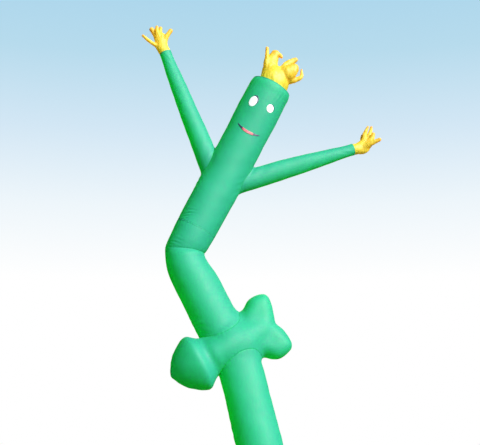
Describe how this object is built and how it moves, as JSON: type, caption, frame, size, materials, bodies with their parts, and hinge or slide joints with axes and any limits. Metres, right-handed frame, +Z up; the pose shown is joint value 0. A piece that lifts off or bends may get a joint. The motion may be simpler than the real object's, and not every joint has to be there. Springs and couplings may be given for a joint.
{
  "type": "inflatable air dancer with a blown-up arrow, without its blower",
  "caption": "Tall fan-blown cloth figure: a sleeve folded at its waist, with an arrow across it, waving arms, hands, a smiling face and a tuft of hair.",
  "frame": {"origin": "middle of the open mouth at the base, where the blower's outlet goes in", "axes": "+X to the right as seen from the front, +Y away from the front, +Z up"},
  "size_m": [2.656, 0.766, 6.3938],
  "materials": {
    "green_cloth": "thin coated ripstop, bright green, lets light through",
    "yellow_cloth": "thin coated ripstop, yellow, lets light through",
    "white_patch": "white cloth patch",
    "navy_patch": "navy cloth patch",
    "pink_patch": "pink cloth patch"
  },
  "bodies": {
    "root": {"tube_lower": "green_cloth", "tube_middle": "green_cloth", "tube_upper": "green_cloth", "head_top": "green_cloth", "arrow": "green_cloth", "arm_left": "green_cloth", "arm_right": "green_cloth", "hand_left": "yellow_cloth", "hand_right": "yellow_cloth", "hair": "yellow_cloth", "eye_left": "white_patch", "eye_right": "white_patch", "eye_left_rim": "navy_patch", "eye_right_rim": "navy_patch", "mouth": "navy_patch", "lips": "pink_patch"}
  },
  "joints": []
}
